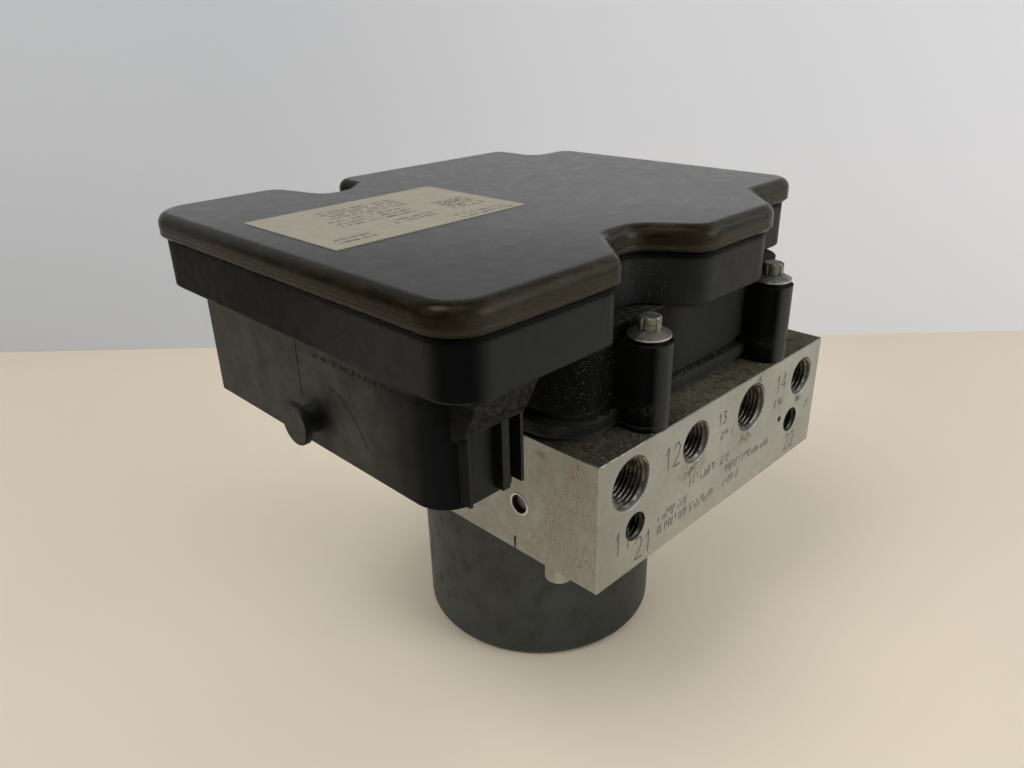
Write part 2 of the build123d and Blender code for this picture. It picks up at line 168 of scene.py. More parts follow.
# The brown stain (Y, Z) on the block's left face. In front of the saw's line that face is rough: the line
# lies SAW_LINE_FRONT in front of the motor's axis at SAW_LINE_Z, and SAW_LINE_SLOPE further for each
# millimetre above that.
STAIN = (-42.4, 78.5)
SAW_LINE_FRONT = 39.4
SAW_LINE_Z = 58.4
SAW_LINE_SLOPE = 0.52

# Lines on the socket's outer wall, as Y and Z, and their width
PARTING_LINE = ((-6.6, 102.3), (-6.5, 96.0), (-6.4, 90.2))
SCRATCH = (
    (-16.9, 95.5), (-20.3, 94.4), (-22.5, 92.9), (-24.2, 91.2), (-25.4, 89.6), (-26.8, 87.6), (-27.7, 86.1),
)
LINE_WIDTH = 0.2

# The metal staked over the ball plug: Y and Z of its centre, radius, width and height of the lip
STAKED_RING_CENTRE = (-36.0, 64.3)
STAKED_RING_RADIUS = 2.35
STAKED_RING_WIDTH = 0.28
STAKED_RING_HEIGHT = 0.20

# Stage: how far behind the motor's axis the wall stands, and how far wall and table reach
WALL_DISTANCE = 198.0
STAGE_HALF_WIDTH = 1500
TABLE_DEPTH = 1200
WALL_HEIGHT = 1400

# Lamps: place, diameter, power in watts
LAMPS = {
    "high_left": ((-550, 50, 900), 500, 4.3),
    "low_front": ((300, -800, 350), 600, 4.0),
    "side": ((-800, 150, 500), 700, 1.3),
    "window": ((620, -420, 640), 600, 1.9),
    "high_front": ((-300, -330, 950), 500, 0.9),
}
LAMP_TARGET = (0, 0, 60)
LAMP_COLOUR = (0.965, 0.985, 1.0)
ROOM_COLOUR = (0.80, 0.90, 1.0, 1.0)
ROOM_STRENGTH = 0.08


# ---------------------------------------------------------------- colours, as linear red, green and blue

ALUMINIUM_SHADE, ALUMINIUM_CLEAN = (0.338, 0.355, 0.325), (0.420, 0.442, 0.413)
ALUMINIUM_TARNISH = (0.34, 0.32, 0.28)
ALUMINIUM_MOTTLE = (0.33, 0.285, 0.225)
# Painted shade on the port face's left end
ALUMINIUM_SHADED = (0.20, 0.205, 0.185)
ALUMINIUM_HAZE = (0.28, 0.25, 0.215)
ALUMINIUM_TAN = (0.40, 0.35, 0.25)
SAWN_BASE, SAWN_STREAK = (0.38, 0.335, 0.28), (0.22, 0.195, 0.16)
DEEP_PIT, SHALLOW_PIT = (0.055, 0.048, 0.036), (0.085, 0.075, 0.058)
# The port face's top edge: a darker colour, and a painted highlight
EDGE_DARK, EDGE_HIGHLIGHT = (0.115, 0.105, 0.080), (0.36, 0.345, 0.30)
STAIN_BROWN = (0.16, 0.135, 0.095)
OIL_SMUDGE = (0.090, 0.088, 0.052)
# Painted shade inside the ports and holes
BORE_SHADE = (0.055, 0.050, 0.042)
DIRT_DARK, DIRT_LIGHT = (0.024, 0.0212, 0.0130), (0.076, 0.067, 0.042)
DIRT_PILED = (0.100, 0.082, 0.048)
DIRT_OCHRE = (0.135, 0.112, 0.066)
DIRT_FLECK = (0.14, 0.13, 0.095)

COATING_DARK, COATING_LIGHT = (0.031, 0.0345, 0.0315), (0.047, 0.053, 0.049)
COATING_PATCH = (0.020, 0.021, 0.018)
COATING_COOL = (0.044, 0.056, 0.057)
COATING_SHADED = (0.018, 0.020, 0.018)
COATING_SCUFF = (0.085, 0.084, 0.074)
COATING_DOT = (0.012, 0.012, 0.011)
# Darker along the motor's bottom edge
COATING_BOTTOM_EDGE = (0.014, 0.014, 0.013)

PLASTIC_DARK, PLASTIC_LIGHT = (0.0062, 0.0064, 0.0060), (0.0125, 0.0124, 0.0108)
PLASTIC_FILM = (0.047, 0.042, 0.034)
PLASTIC_RUBBED = (0.062, 0.056, 0.045)
PLASTIC_SHADOW = (0.0022, 0.0024, 0.0026)
# Painted shadow under the cover's rim
UNDER_RIM_SHADOW = (0.0008, 0.0008, 0.0009)
# Painted shade on the posts' sides, painted light on their fronts
POST_SHADED, POST_LIT = (0.0020, 0.0023, 0.0030), (0.0110, 0.0115, 0.0106)
# Painted shade on the tray's front and left walls
TRAY_FRONT_SHADE = (0.0068, 0.0076, 0.0078)
TRAY_LEFT_SHADE = (0.0048, 0.0042, 0.0034)
# Painted highlight on the tray's lower edge
TRAY_EDGE_HIGHLIGHT = (0.036, 0.033, 0.026)
# Painted shade on the socket's front end and on the upright corner
SOCKET_END_SHADE = (0.0062, 0.0066, 0.0056)
SOCKET_CORNER_SHADE, TRAY_CORNER_SHADE = (0.0050, 0.0056, 0.0062), (0.0018, 0.0021, 0.0027)
# Darker patches under the tray's corner and along the top of the socket's wall
GUSSET_DARK = (0.0040, 0.0038, 0.0032)
UNDER_TRAY_DARK = (0.0040, 0.0036, 0.0029)
# Painted shadow at the peg, and a painted highlight on the skirt's lip
PEG_SHADOW = (0.0060, 0.0056, 0.0048)
LIP_HIGHLIGHT = (0.060, 0.061, 0.056)
SPLASH = (0.115, 0.112, 0.085)
# Painted light on the lower body's front wall
FRONT_WALL_LIGHT = (0.030, 0.0305, 0.027)
LEDGE_DUST = (0.040, 0.036, 0.025)
CAKED_DIRT = (0.030, 0.027, 0.018)

COVER_SHADE, COVER_CLEAN = (0.026, 0.0255, 0.0245), (0.033, 0.0325, 0.0312)
# Painted shade on the cover top's near corner
COVER_CORNER_SHADE = (0.0105, 0.0102, 0.0095)
COVER_DUST = (0.10, 0.097, 0.088)
RIM_DARK, RIM_BROWN = (0.0075, 0.0055, 0.0028), (0.0170, 0.0132, 0.0074)
RIM_PALE = (0.038, 0.032, 0.020)
# Painted shade on the rim's left face, painted light on its front face
RIM_LEFT_SHADE, RIM_FRONT_LIGHT = (0.0068, 0.0042, 0.0010), (0.0300, 0.0285, 0.0225)
# Painted highlight on the rim's lower lip
RIM_LIP_HIGHLIGHT = (0.032, 0.029, 0.0205)

ZINC_DARK, ZINC_LIGHT = (0.13, 0.127, 0.105), (0.27, 0.265, 0.225)
ZINC_DIRT = (0.050, 0.044, 0.029)
# Painted highlight on the flanges' rim
ZINC_RIM_HIGHLIGHT = (0.55, 0.53, 0.48)
LABEL_SHADE, LABEL_CREAM = (0.272, 0.236, 0.170), (0.345, 0.300, 0.220)
LABEL_INK = (0.070, 0.065, 0.055)
# Threads: the flanks and the small holes' threads are painted shade, the crests painted light; oil darkens
# patches of each
SHADED_FLANK_CLEAN, SHADED_FLANK_OILY = (0.125, 0.117, 0.095), (0.036, 0.032, 0.024)
SHADED_DEEP_CLEAN, SHADED_DEEP_OILY = (0.030, 0.027, 0.022), (0.012, 0.011, 0.009)
LIT_CREST_CLEAN, LIT_CREST_OILY = (0.42, 0.40, 0.36), (0.15, 0.138, 0.11)
ENGRAVED = (0.036, 0.033, 0.027)
GRAIN = (0.125, 0.113, 0.080)
PARTING_SHADOW = (0.003, 0.003, 0.003)
SCRATCHED_PLASTIC = (0.008, 0.008, 0.007)

# Painted light and shade across the stage: the table darker to the right, the wall darker to the left
TABLE_LIT, TABLE_SHADED = (0.79, 0.68, 0.53), (0.69, 0.595, 0.475)
WALL_SHADED, WALL_LIT = (0.61, 0.625, 0.66), (0.755, 0.76, 0.79)

# Tints of the reflections
COOL_SHINE = (0.82, 0.95, 1.0, 1.0)
LABEL_SHINE = (1.0, 0.93, 0.80, 1.0)
COVER_RIM_SHINE, COVER_TOP_SHINE = (1.0, 0.84, 0.60), (1.0, 0.94, 0.84)


# ---------------------------------------------------------------- materials

class Paint:
    """A material made of nodes. Its calls make the masks and mixtures that drive the Principled shader."""

    def __init__(self, name):
        self.material = bpy.data.materials.new(name)
        self.material.use_nodes = True
        self.tree = self.material.node_tree
        self.shader = self.tree.nodes["Principled BSDF"]
        self.place = self.node("ShaderNodeTexCoord").outputs["Object"]

    def node(self, kind, **settings):
        made = self.tree.nodes.new(kind)
        for key, value in settings.items():
            setattr(made, key, value)
        return made

    def join(self, source, socket):
        """Feeds a socket from another node, or sets it to a constant."""
        if hasattr(source, "is_output"):
            self.tree.links.new(source, socket)
        else:
            socket.default_value = source

    def set(self, socket, value):
        self.join(value, self.shader.inputs[socket])

    def stretched(self, scale):
        mapping = self.node("ShaderNodeMapping")
        mapping.inputs["Scale"].default_value = scale
        self.join(self.place, mapping.inputs["Vector"])
        return mapping.outputs["Vector"]

    def noise(self, size_mm, detail=3.0, roughness=0.55, stretch=(1, 1, 1)):
        """Soft noise from 0 to 1 with features about size_mm across."""
        made = self.node("ShaderNodeTexNoise")
        made.inputs["Scale"].default_value = 1.0 / (size_mm * MM)
        made.inputs["Detail"].default_value = detail
        made.inputs["Roughness"].default_value = roughness
        self.join(self.stretched(stretch), made.inputs["Vector"])
        return made.outputs["Fac"]

    def ramp(self, value, low, high, from_value=0.0, to_value=1.0):
        """Maps low..high to from_value..to_value, smoothly and clamped."""
        made = self.node("ShaderNodeMapRange", interpolation_type="SMOOTHSTEP")
        self.join(value, made.inputs["Value"])
        made.inputs["From Min"].default_value = low
        made.inputs["From Max"].default_value = high
        made.inputs["To Min"].default_value = from_value
        made.inputs["To Max"].default_value = to_value
        return made.outputs["Result"]

    def patches(self, size_mm, low, high, **texture):
        """1 in patches about size_mm across, where noise is above high, and 0 where it is below low."""
        return self.ramp(self.noise(size_mm, **texture), low, high)

    def wander(self, size_mm, lowest, highest, **texture):
        """A value that wanders from lowest to highest over about size_mm."""
        return self.ramp(self.noise(size_mm, **texture), 0.3, 0.7, lowest, highest)

    def dots(self, size_mm, inner, outer):
        """1 at scattered points about size_mm apart. Each is full up to inner and gone from outer, as shares
        of size_mm."""
        made = self.node("ShaderNodeTexVoronoi")
        made.inputs["Scale"].default_value = 1.0 / (size_mm * MM)
        self.join(self.stretched((1, 1, 1)), made.inputs["Vector"])
        return self.ramp(made.outputs["Distance"], inner, outer, 1.0, 0.0)

    def math(self, operation, first, second=0.0):
        made = self.node("ShaderNodeMath", operation=operation)
        self.join(first, made.inputs[0])
        self.join(second, made.inputs[1])
        return made.outputs[0]

    def plus(self, first, second):
        return self.math("ADD", first, second)

    def minus(self, first, second):
        return self.math("SUBTRACT", first, second)

    def times(self, *factors):
        result = factors[0]
        for factor in factors[1:]:
            result = self.math("MULTIPLY", result, factor)
        return result

    def most(self, *values):
        result = values[0]
        for value in values[1:]:
            result = self.math("MAXIMUM", result, value)
        return result

    def either(self, mask, inside, outside):
        """The value inside where the mask is 1, and the value outside where it is 0."""
        return self.plus(self.times(mask, inside), self.times(self.minus(1.0, mask), outside))

    def mix(self, amount, first, second):
        """Colour between first (amount 0) and second (amount 1)."""
        made = self.node("ShaderNodeMix", data_type="RGBA")
        self.join(amount, made.inputs["Factor"])
        for socket, colour in ((made.inputs[6], first), (made.inputs[7], second)):
            self.join(colour if hasattr(colour, "is_output") else (*colour, 1.0), socket)
        return made.outputs[2]

    def over(self, colour, tint, *masks):
        """The colour with a tint laid over it, as thick as the masks multiplied."""
        return self.mix(self.times(*masks), colour, tint)

    def axis(self, letter):
        """A coordinate of the surface point, in millimetres."""
        split = self.node("ShaderNodeSeparateXYZ")
        self.join(self.place, split.inputs[0])
        return self.times(split.outputs[letter], 1.0 / MM)

    def rise(self, letter, low, high):
        """0 below low and 1 above high, along a coordinate."""
        return self.ramp(self.axis(letter), low, high)

    def fall(self, letter, low, high, to_value=0.0):
        """1 below low and to_value above high, along a coordinate."""
        return self.ramp(self.axis(letter), low, high, 1.0, to_value)

    def near(self, letter, value, reach):
        """1 where a coordinate is at value, 0 at more than reach millimetres from it."""
        offset = self.math("ABSOLUTE", self.minus(self.axis(letter), value))
        return self.ramp(offset, 0.0, reach, 1.0, 0.0)

    def around(self, x, z, reach, narrowing):
        """1 at the point x, z of a face that looks along Y, 0 from reach millimetres above or below it, and
        from reach / narrowing millimetres beside it."""
        dx = self.times(self.minus(self.axis("X"), x), narrowing)
        dz = self.minus(self.axis("Z"), z)
        squares = self.plus(self.times(dx, dx), self.times(dz, dz))
        return self.ramp(self.math("SQRT", squares), 0.0, reach, 1.0, 0.0)

    def facing(self, direction):
        """1 where the surface faces a direction, falling to 0 at 45 degrees from it."""
        dot = self.node("ShaderNodeVectorMath", operation="DOT_PRODUCT")
        self.join(self.node("ShaderNodeNewGeometry").outputs["Normal"], dot.inputs[0])
        dot.inputs[1].default_value = direction
        return self.ramp(dot.outputs["Value"], 0.7, 0.97)

    def bump(self, height, depth_mm, below=None):
        """Relief of the surface, on top of the relief below."""
        made = self.node("ShaderNodeBump")
        made.inputs["Distance"].default_value = depth_mm * MM
        made.inputs["Strength"].default_value = 1.0
        self.join(height, made.inputs["Height"])
        if below is not None:
            self.join(below, made.inputs["Normal"])
        self.join(made.outputs["Normal"], self.shader.inputs["Normal"])
        return made.outputs["Normal"]


def plain_finish(name, colour, metallic, roughness, grain_mm=0.6, depth_mm=0.01, vary=0.15, shine=0.5):
    """A simple finish with grain, for pieces that are hidden or small."""
    paint = Paint(name)
    tone = paint.noise(6.0 * grain_mm, detail=5.0)
    darker = tuple(c * (1 - vary) for c in colour)
    lighter = tuple(min(1.0, c * (1 + vary)) for c in colour)
    paint.set("Base Color", paint.mix(tone, darker, lighter))
    paint.set("Metallic", metallic)
    paint.set("Specular IOR Level", shine)
    paint.set("Roughness", paint.wander(2.0 * grain_mm, roughness - 0.07, roughness + 0.07))
    paint.bump(paint.noise(grain_mm, detail=4.0), depth_mm)
    return paint.material


def top_dirt_colour(paint):
    """Dried dirt on the block's top: dark, piled along the housing, and ochre right of the first post."""
    colour = paint.mix(paint.patches(0.9, 0.35, 0.7, detail=5.0), DIRT_DARK, DIRT_LIGHT)
    pile = paint.times(paint.near("Y", -50.5, 3.6), paint.patches(1.6, 0.40, 0.58, detail=6.0))
    colour = paint.over(colour, DIRT_PILED, pile, 0.8)
    ochre = paint.times(paint.rise("X", -19.0, -15.0), paint.patches(2.0, 0.36, 0.56, detail=5.0))
    colour = paint.over(colour, DIRT_OCHRE, ochre, 0.42)
    flecks = paint.times(paint.dots(0.7, 0.10, 0.26), paint.patches(2.2, 0.50, 0.62))
    return paint.over(colour, DIRT_FLECK, flecks, 0.45)


def block_finish():
    """Milled aluminium: clean on the port face, pitted on the left face, stained brown on top."""
    paint = Paint("machined_aluminium")
    left = paint.facing((-1, 0, 0))
    top = paint.facing((0, 0, 1))
    front = paint.facing((0, -1, 0))
    blotch = paint.noise(9.0, detail=6.0)
    fine = paint.noise(0.45, detail=4.0)
    colour = paint.mix(paint.ramp(blotch, 0.3, 0.7), ALUMINIUM_SHADE, ALUMINIUM_CLEAN)
    colour = paint.over(colour, ALUMINIUM_TARNISH, paint.ramp(fine, 0.35, 0.75), 0.25)

    # Left face: mottled, with a stain, and sawn rough in front of a slanting line
    mottle = paint.patches(2.6, 0.38, 0.66, detail=6.0, roughness=0.65)
    colour = paint.over(colour, ALUMINIUM_MOTTLE, left, mottle, 0.48)
    line = paint.times(paint.minus(paint.axis("Z"), SAW_LINE_Z), -SAW_LINE_SLOPE)
    ahead = paint.minus(paint.minus(line, SAW_LINE_FRONT), paint.axis("Y"))
    rough = paint.times(left, paint.ramp(ahead, -0.4, 0.6))
    stain = paint.times(left, paint.near("Y", STAIN[0], 2.6), paint.near("Z", STAIN[1], 1.3))
    colour = paint.over(colour, STAIN_BROWN, stain, 0.55)
    pits = paint.dots(0.62, 0.10, 0.30)
    speckle = paint.times(pits, paint.patches(1.3, 0.45, 0.58, detail=4.0))
    streaks = paint.patches(0.5, 0.45, 0.7, stretch=(1, 1, 0.12))
    colour = paint.over(colour, SAWN_BASE, rough, 0.40)
    colour = paint.over(colour, SAWN_STREAK, rough, streaks, 0.30)
    colour = paint.over(colour, DEEP_PIT, rough, speckle, 0.85)
    colour = paint.over(colour, SHALLOW_PIT, left, pits, paint.patches(2.0, 0.50, 0.60), 0.7)

    # Port face: smudges of oil, a warmer stain along its lower edge, painted shade on its left end, haze all
    # over
    smudges = paint.most(*(paint.around(*smudge) for smudge in SMUDGES))
    grime = paint.patches(1.2, 0.40, 0.60, detail=5.0)
    colour = paint.over(colour, OIL_SMUDGE, front, smudges, grime, 0.95)
    lower_edge = paint.fall("Z", BLOCK_BOTTOM + 0.7, BLOCK_BOTTOM + 7.7)
    low_stain = paint.times(front, lower_edge, paint.ramp(blotch, 0.4, 0.6))
    colour = paint.over(colour, ALUMINIUM_TAN, low_stain, 0.28)
    # Painted shade: the port face darkens towards its left end
    shaded_left_end = paint.times(front, paint.fall("X", -44.0, -16.0))
    colour = paint.over(colour, ALUMINIUM_SHADED, shaded_left_end, 0.42)
    haze = paint.times(front, paint.patches(4.5, 0.46, 0.70, detail=6.0, roughness=0.7))
    colour = paint.over(colour, ALUMINIUM_HAZE, haze, 0.36)

    dirt = paint.times(top, paint.patches(3.5, 0.12, 0.32, detail=8.0, roughness=0.7))
    colour = paint.over(colour, top_dirt_colour(paint), dirt, 0.97)

    # The walls of the ports and holes are painted dark, as the shade inside them
    inside = paint.times(
        paint.rise("Y", BLOCK_FRONT + 0.03, BLOCK_FRONT + 0.15),
        paint.rise("X", BLOCK_LEFT + 0.25, BLOCK_LEFT + 0.5),
        paint.fall("Z", BLOCK_TOP - 0.5, BLOCK_TOP - 0.25),
        paint.rise("Z", BLOCK_BOTTOM + 0.4, BLOCK_BOTTOM + 0.7),
    )
    colour = paint.over(colour, BORE_SHADE, inside, 0.95)

    # The top edge of the port face: a painted highlight beside the first port, and darker along the rest
    bevel = paint.facing((0, -DIAGONAL, DIAGONAL))
    top_edge = paint.times(bevel, paint.rise("Z", BLOCK_TOP - 0.7, BLOCK_TOP - 0.5))
    # Painted highlight in patches on the edge beside the first port
    edge_highlight = paint.times(paint.fall("X", -33.0, -24.0), paint.patches(0.9, 0.40, 0.58, detail=5.0))
    edge_colour = paint.mix(edge_highlight, EDGE_DARK, EDGE_HIGHLIGHT)
    colour = paint.over(colour, edge_colour, top_edge, 0.9)

    paint.set("Base Color", colour)
    covered = paint.most(dirt, top_edge, paint.times(inside, 0.7))
    bare = paint.minus(0.92, paint.times(covered, 0.90))
    paint.set("Metallic", paint.minus(bare, paint.times(left, 0.22)))
    paint.set("Specular IOR Level", paint.ramp(dirt, 0.0, 1.0, 0.5, 0.06))
    milled = paint.wander(2.2, 0.38, 0.50, detail=4.0)
    paint.set("Roughness", paint.most(milled, paint.times(dirt, 0.88), paint.times(left, 0.58)))
    milling_marks = paint.bump(paint.noise(0.22, detail=2.0, stretch=(0.08, 1, 1)), 0.005)
    pitting = paint.plus(paint.times(left, fine), paint.times(speckle, left, -1.8))
    paint.bump(pitting, 0.045, milling_marks)
    return paint.material


def motor_finish():
    """Thin dark grey coating, cloudy and faintly scuffed, bluer near the ground and darker on the right."""
    paint = Paint("coated_steel")
    cloud = paint.patches(13.0, 0.35, 0.65, detail=6.0, roughness=0.6)
    colour = paint.mix(cloud, COATING_DARK, COATING_LIGHT)
    patch = paint.patches(5.0, 0.44, 0.72, detail=6.0, roughness=0.65)
    colour = paint.over(colour, COATING_PATCH, patch, 0.55)
    cool = paint.times(paint.fall("Z", 3.0, 16.0), paint.patches(8.0, 0.42, 0.58))
    colour = paint.over(colour, COATING_COOL, cool, 0.65)
    colour = paint.over(colour, COATING_SHADED, paint.rise("X", -20.0, 0.0), 0.8)
    upright = paint.patches(0.8, 0.64, 0.76, detail=4.0, stretch=(1, 1, 0.25))
    scuff = paint.times(upright, paint.patches(7.0, 0.48, 0.62))
    colour = paint.over(colour, COATING_SCUFF, scuff, 0.35)
    dots = paint.times(paint.dots(1.9, 0.06, 0.13), paint.patches(5.0, 0.5, 0.6))
    colour = paint.over(colour, COATING_DOT, dots, 0.5)
    # Darker along the bottom edge
    colour = paint.over(colour, COATING_BOTTOM_EDGE, paint.near("Z", 0.0, 1.6), 0.6)
    paint.set("Base Color", colour)
    paint.set("Metallic", 0.35)
    paint.set("Roughness", paint.ramp(patch, 0.0, 1.0, 0.46, 0.60))
    paint.bump(paint.noise(1.1, detail=5.0), 0.010)
    return paint.material


def housing_finish():
    """Black moulded plastic under a thin film of road dust, with painted light and shade in places."""
    paint = Paint("housing_plastic")
    left = paint.facing((-1, 0, 0))
    front = paint.facing((0, -1, 0))
    top = paint.facing((0, 0, 1))
    on_socket = paint.fall("X", SOCKET_RIGHT, SOCKET_RIGHT + 2.0)
    on_body = paint.rise("X", -46.0, -45.0)
    tray = paint.rise("Z", TRAY_BOTTOM - 0.1, TRAY_BOTTOM + 0.1)
    below_tray = paint.fall("Z", TRAY_BOTTOM - 0.3, TRAY_BOTTOM - 0.1)
    film = paint.patches(11.0, 0.35, 0.65, detail=5.0, roughness=0.6)
    colour = paint.mix(film, PLASTIC_DARK, PLASTIC_LIGHT)

    # A thin brown film on the socket's outer wall, rubbed through in places
    socket_wall = paint.times(left, paint.fall("Z", TRAY_BOTTOM - 1.7, TRAY_BOTTOM + 0.3))
    film_noise = paint.noise(6.0, detail=6.0, roughness=0.65)
    colour = paint.over(colour, PLASTIC_FILM, socket_wall, paint.ramp(film_noise, 0.35, 0.65, 0.35, 0.9))
    rubbed = paint.patches(0.9, 0.60, 0.74, detail=5.0, stretch=(1, 0.5, 1))
    colour = paint.over(colour, PLASTIC_RUBBED, left, rubbed, 0.35)

    # Painted shade on the lower body under the tray, and painted light on the fronts of the posts in front
    # of it
    shadowed = paint.times(
        paint.rise("X", SOCKET_RIGHT, SOCKET_RIGHT + 2.0),
        below_tray,
        paint.rise("Z", SKIRT_TOP + 0.6, SKIRT_TOP + 1.0),
    )
    colour = paint.over(colour, PLASTIC_SHADOW, shadowed, 0.85)
    post = paint.times(paint.fall("Y", -50.2, -49.6), below_tray, paint.rise("X", -50.0, -48.0))
    colour = paint.over(colour, paint.mix(front, POST_SHADED, POST_LIT), post)

    # Painted shade on the tray's front and left walls, the socket's front end, and the upright corner, which
    # is the darkest
    colour = paint.over(colour, TRAY_FRONT_SHADE, tray, front, 0.6)
    shaded_tray_left = paint.times(tray, left, paint.ramp(paint.axis("Y"), -42.0, 0.0, 0.25, 1.0))
    colour = paint.over(colour, TRAY_LEFT_SHADE, shaded_tray_left)
    shaded_socket_end = paint.times(socket_wall, paint.fall("Y", -44.0, -24.0))
    colour = paint.over(colour, SOCKET_END_SHADE, shaded_socket_end, 0.85)
    corner = paint.times(paint.facing((-DIAGONAL, -DIAGONAL, 0)), on_socket)
    colour = paint.over(colour, paint.mix(tray, SOCKET_CORNER_SHADE, TRAY_CORNER_SHADE), corner, 0.9)

    # Darker patches on the slanted web under the tray's corner and along the top of the socket's wall
    dark_patches = paint.patches(0.9, 0.42, 0.58, detail=6.0, roughness=0.65)
    gusset = paint.times(
        paint.rise("Z", 95.0, 96.5),
        paint.fall("Z", TRAY_BOTTOM - 0.1, TRAY_BOTTOM + 0.1),
        paint.fall("X", -54.0, -53.0),
        paint.fall("Y", -46.0, -45.0),
    )
    colour = paint.over(colour, GUSSET_DARK, gusset, dark_patches, 0.75)
    under_tray = paint.times(left, paint.near("Z", 100.6, 1.3), dark_patches, paint.fall("Y", -14.0, -8.0))
    colour = paint.over(colour, UNDER_TRAY_DARK, under_tray, 0.9)

    # A painted shadow under the cover, a painted highlight on the tray's lower edge, a painted shadow at the
    # peg, and a painted highlight on the skirt's lip
    under_rim_shadow = paint.times(tray, paint.near("Z", COVER_BOTTOM - 1.0, 0.9))
    colour = paint.over(colour, UNDER_RIM_SHADOW, under_rim_shadow, 0.95)
    tray_edge_highlight = paint.times(left, paint.near("Z", TRAY_BOTTOM + 0.4, 0.35))
    colour = paint.over(colour, TRAY_EDGE_HIGHLIGHT, tray_edge_highlight, 0.7)
    peg_shadow = paint.times(
        left,
        paint.near("Y", -13.5, 6.0),
        paint.near("Z", 88.0, 5.0),
        paint.rise("X", SOCKET_LEFT - 0.4, SOCKET_LEFT - 0.2),
    )
    colour = paint.over(colour, PEG_SHADOW, peg_shadow, 0.9)
    lip = paint.near("Z", SKIRT_BOTTOM + 0.15, 0.35)
    lip_highlight = paint.times(on_body, lip, paint.fall("X", -30.0, -24.0))
    colour = paint.over(colour, LIP_HIGHLIGHT, lip_highlight, 0.9)

    # Splashes on the lower body, most of them left of the first post, and painted light on its front wall
    # right of the first post
    sheltered = paint.times(
        paint.rise("X", -50.0, -46.0),
        paint.fall("X", -16.0, -8.0, 0.22),
        paint.rise("Y", BODY_FRONT - 0.6, BODY_FRONT - 0.2),
        paint.fall("Y", -41.0, -39.0),
    )
    specks = paint.times(paint.dots(0.40, 0.13, 0.27), paint.patches(1.8, 0.44, 0.58, detail=4.0))
    colour = paint.over(colour, SPLASH, specks, sheltered, 0.8)
    front_wall = paint.fall("Z", TRAY_BOTTOM - 1.7, TRAY_BOTTOM + 0.3)
    lit_front_wall = paint.times(front, paint.rise("X", -14.0, -4.0), front_wall)
    colour = paint.over(colour, FRONT_WALL_LIGHT, lit_front_wall, 0.7)

    # Dust on every ledge, and dirt caked just above the skirt
    ledge = paint.times(top, paint.patches(1.2, 0.32, 0.6, detail=6.0))
    colour = paint.over(colour, LEDGE_DUST, ledge, 0.7)
    caked = paint.times(
        paint.near("Z", SKIRT_TOP + 0.8, 2.0),
        paint.patches(0.9, 0.42, 0.6, detail=6.0),
        paint.rise("X", -44.5, -43.5),
    )
    colour = paint.over(colour, CAKED_DIRT, caked, 0.6)
    paint.set("Base Color", colour)

    splashes = paint.times(specks, sheltered)
    dusty = paint.most(splashes, ledge, caked)
    smooth = paint.wander(3.0, 0.38, 0.50, detail=4.0)
    paint.set("Roughness", paint.most(smooth, paint.times(dusty, 0.9), paint.times(socket_wall, 0.55)))
    gusset_patches = paint.times(gusset, dark_patches)
    skirt_band = paint.times(on_body, paint.near("Z", SKIRT_TOP, 0.8))
    matt = paint.most(
        shadowed, shaded_tray_left, corner, shaded_socket_end, peg_shadow, gusset_patches, under_tray, under_rim_shadow, skirt_band,
    )
    wall_shine = paint.minus(0.18, paint.times(matt, 0.14))
    post_shine = paint.ramp(front, 0.0, 1.0, 0.02, 0.20)
    paint.set("Specular IOR Level", paint.either(post, post_shine, wall_shine))
    paint.set("Specular Tint", COOL_SHINE)
    grain = paint.noise(0.25, detail=2.0)
    paint.bump(paint.plus(grain, paint.times(specks, sheltered, 3.0)), 0.012)
    return paint.material


